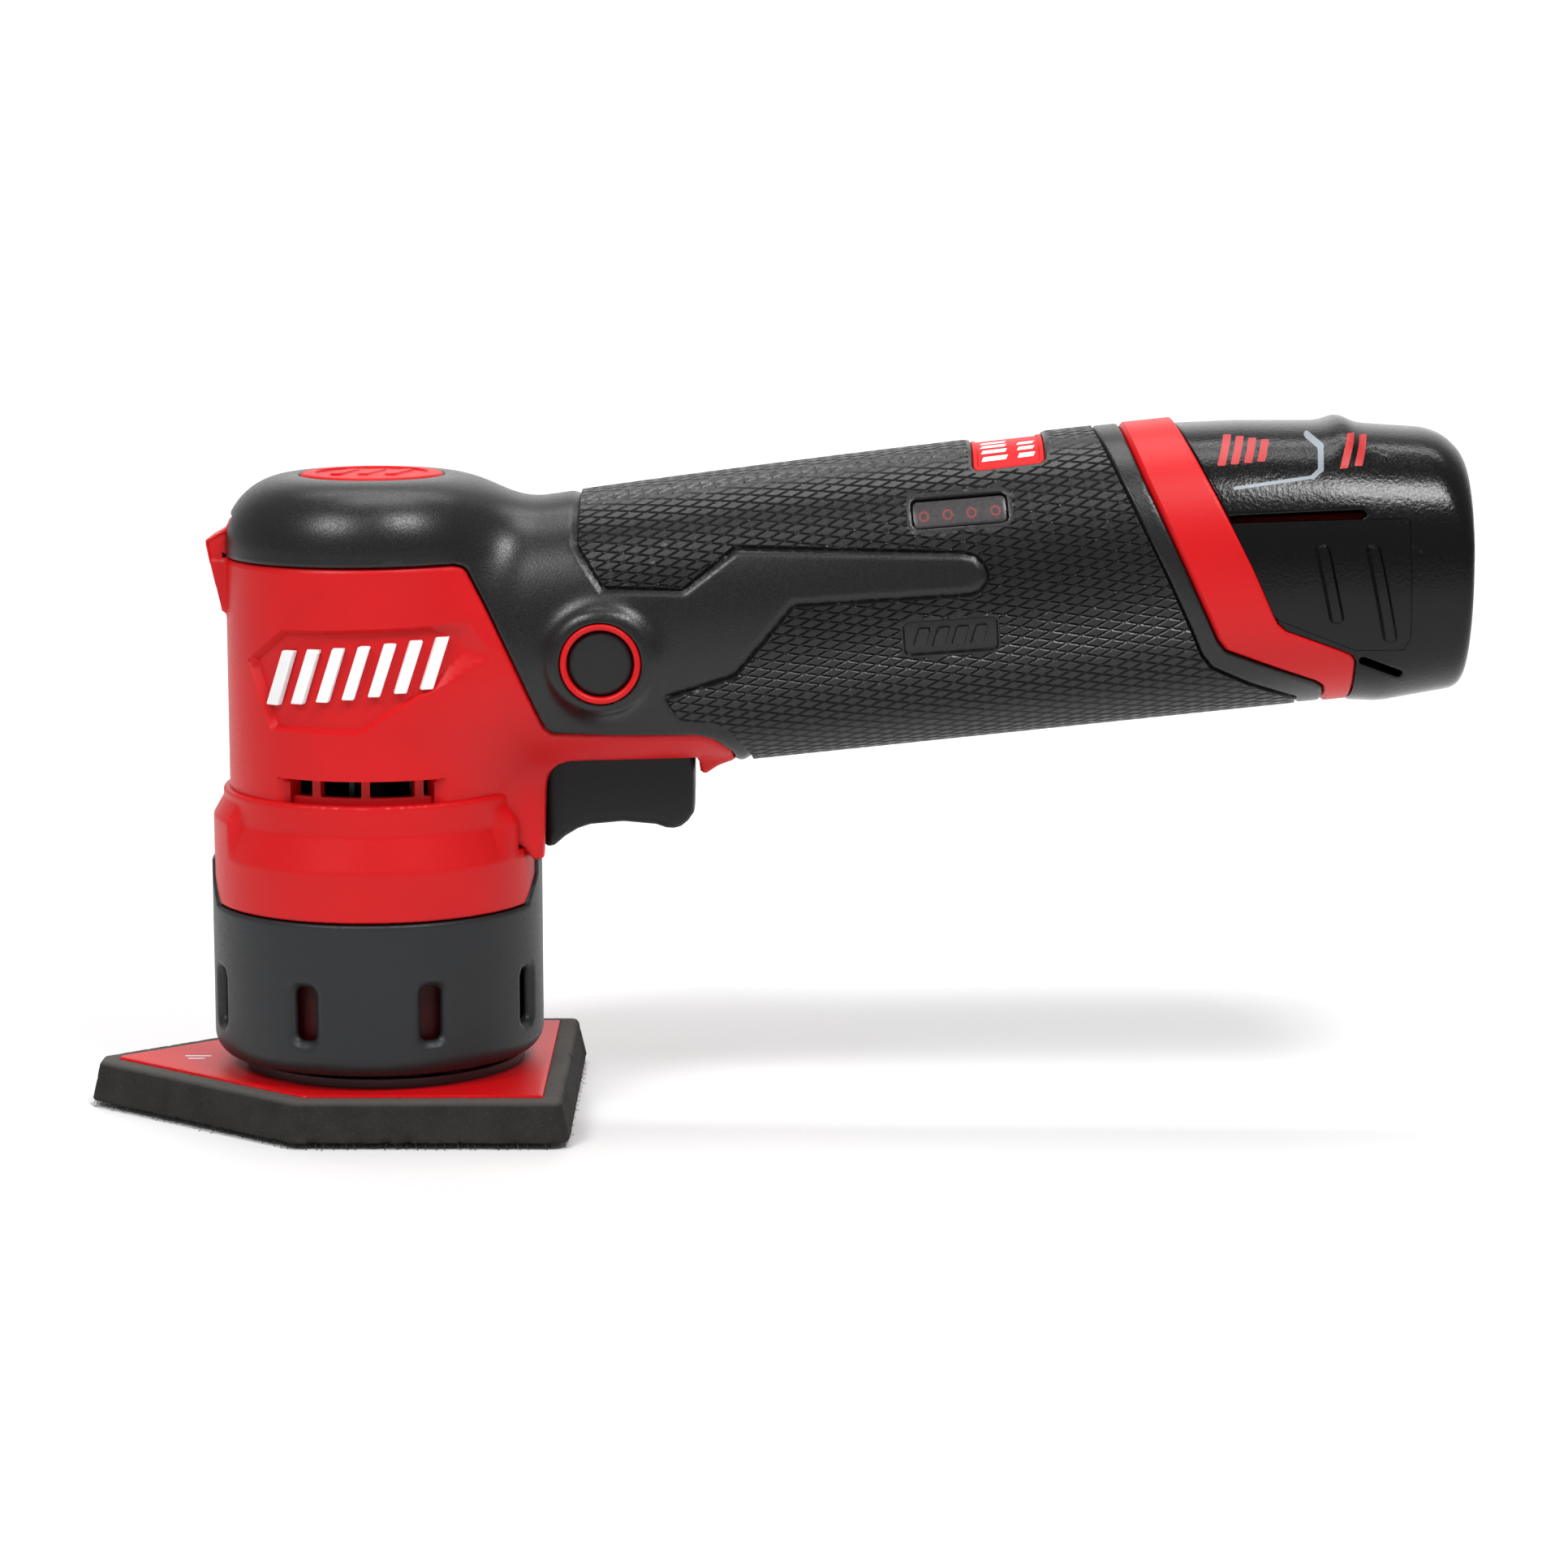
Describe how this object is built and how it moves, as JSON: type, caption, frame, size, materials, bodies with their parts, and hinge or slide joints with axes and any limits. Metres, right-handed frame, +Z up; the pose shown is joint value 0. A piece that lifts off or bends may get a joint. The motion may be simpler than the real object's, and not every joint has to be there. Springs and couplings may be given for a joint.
{
  "type": "detail mouse sander",
  "caption": "Cordless orbital detail sander: upright motor head on a pointed hook-and-loop pad, dust shroud, paddle trigger, textured angled grip and a slide-in battery.",
  "frame": {"origin": "spindle axis at the bottom of the hook face of the pad", "axes": "+X from the head along the handle to the battery, the pad's nose points to -X; +Z up along the spindle; the left side is -Y"},
  "size_m": [0.2659, 0.076, 0.134],
  "materials": {
    "hook_tape": "moulded nylon hooks",
    "pad_foam": "closed-cell foam, matte and porous",
    "pad_plate_red": "satin moulded plate",
    "carrier_plastic": "glass-filled nylon",
    "screw_steel": "zinc plated",
    "bearing_steel": "ground steel",
    "shaft_steel": "ground steel",
    "cast_weight": "as cast",
    "fan_plastic": "moulded nylon",
    "rotor_steel": "coated magnet steel",
    "lamination_steel": "stacked laminations",
    "copper_wire": "enamelled copper wire",
    "cast_aluminium": "die cast",
    "soft_rubber": "moulded rubber",
    "circuit_board": "solder mask",
    "shroud_plastic": "satin dark grey nylon",
    "housing_red": "satin glass-filled nylon",
    "badge_red": "printed label",
    "soft_overmold": "soft touch, diamond relief on the grip",
    "smoked_lens": "smoked, frosted face",
    "screw_black": "black oxide",
    "trigger_black": "fine texture",
    "spring_steel": "bright wire",
    "switch_plastic": "moulded nylon",
    "button_black": "fine texture",
    "contact_brass": "stamped",
    "battery_gloss": "glossy, light orange-peel texture",
    "battery_core_red": "moulded",
    "cell_wrap": "shrink wrap"
  },
  "bodies": {
    "tool_body": {"motor_stator": "lamination_steel", "motor_windings": "copper_wire", "motor_mount": "cast_aluminium", "guide_bushings": "soft_rubber", "sensor_board": "circuit_board", "lower_bearing": "bearing_steel", "upper_bearing": "bearing_steel", "dust_shroud": "shroud_plastic", "lower_collar": "housing_red", "head_cap": "housing_red", "housing_left": "housing_red", "housing_right": "housing_red", "top_badge": "badge_red", "overmold_left": "soft_overmold", "overmold_right": "soft_overmold", "gauge_lens": "smoked_lens", "gauge_board": "circuit_board", "housing_screws": "screw_black", "trigger_spring": "spring_steel", "switch_body": "switch_plastic", "control_board": "circuit_board", "battery_socket": "switch_plastic", "socket_blades": "contact_brass"},
    "spindle": {"motor_shaft": "shaft_steel", "rotor": "rotor_steel", "cooling_fan": "fan_plastic", "eccentric": "cast_weight"},
    "pad": {"pad_carrier": "carrier_plastic", "guide_posts": "screw_steel", "eccentric_bearing": "bearing_steel", "pad_plate": "pad_plate_red", "pad_foam": "pad_foam", "hook_layer": "hook_tape", "pad_screws": "screw_steel"},
    "trigger": {"trigger": "trigger_black"},
    "lock_button_left": {"lock_button_left": "button_black"},
    "lock_button_right": {"lock_button_right": "button_black"},
    "battery": {"battery_case": "battery_gloss", "battery_core": "battery_core_red", "battery_cells": "cell_wrap"},
    "latch_left": {"latch_left": "battery_gloss"},
    "latch_right": {"latch_right": "battery_gloss"}
  },
  "joints": [
    {"name": "spindle_spin", "type": "hinge", "parent": "tool_body", "child": "spindle", "pos_m": [0, 0, 0.045], "axis": [0, 0, 1], "continuous": true},
    {"name": "pad_orbit", "type": "hinge", "parent": "spindle", "child": "pad", "pos_m": [0.001, 0, 0.0175], "axis": [0, 0, 1], "continuous": true},
    {"name": "trigger_pull", "type": "slide", "parent": "tool_body", "child": "trigger", "axis": [0, 0, 1], "range_m": [0, 0.0045], "stiffness_N_per_m": 600, "springref_m": -0.004, "deforming": ["trigger_spring"]},
    {"name": "lock_button_left_press", "type": "slide", "parent": "tool_body", "child": "lock_button_left", "axis": [0, 1, 0], "range_m": [0, 0.0025], "stiffness_N_per_m": 400, "springref_m": -0.002},
    {"name": "lock_button_right_press", "type": "slide", "parent": "tool_body", "child": "lock_button_right", "axis": [0, -1, 0], "range_m": [0, 0.0025], "stiffness_N_per_m": 400, "springref_m": -0.002},
    {"name": "battery_slide", "type": "slide", "parent": "tool_body", "child": "battery", "axis": [0.9943, 0, 0.1063], "range_m": [0, 0.055]},
    {"name": "latch_left_squeeze", "type": "hinge", "parent": "battery", "child": "latch_left", "pos_m": [0.1945, -0.0235, 0.107], "axis": [0, 0, -1], "range_deg": [0, 3.5], "stiffness_Nm_per_rad": 3, "springref_deg": -2.86},
    {"name": "latch_right_squeeze", "type": "hinge", "parent": "battery", "child": "latch_right", "pos_m": [0.1945, 0.0235, 0.107], "axis": [0, 0, 1], "range_deg": [0, 3.5], "stiffness_Nm_per_rad": 3, "springref_deg": -2.86}
  ],
  "couplings": [
    {"joint": "pad_orbit", "follows": "spindle_spin", "ratio": -1}
  ]
}
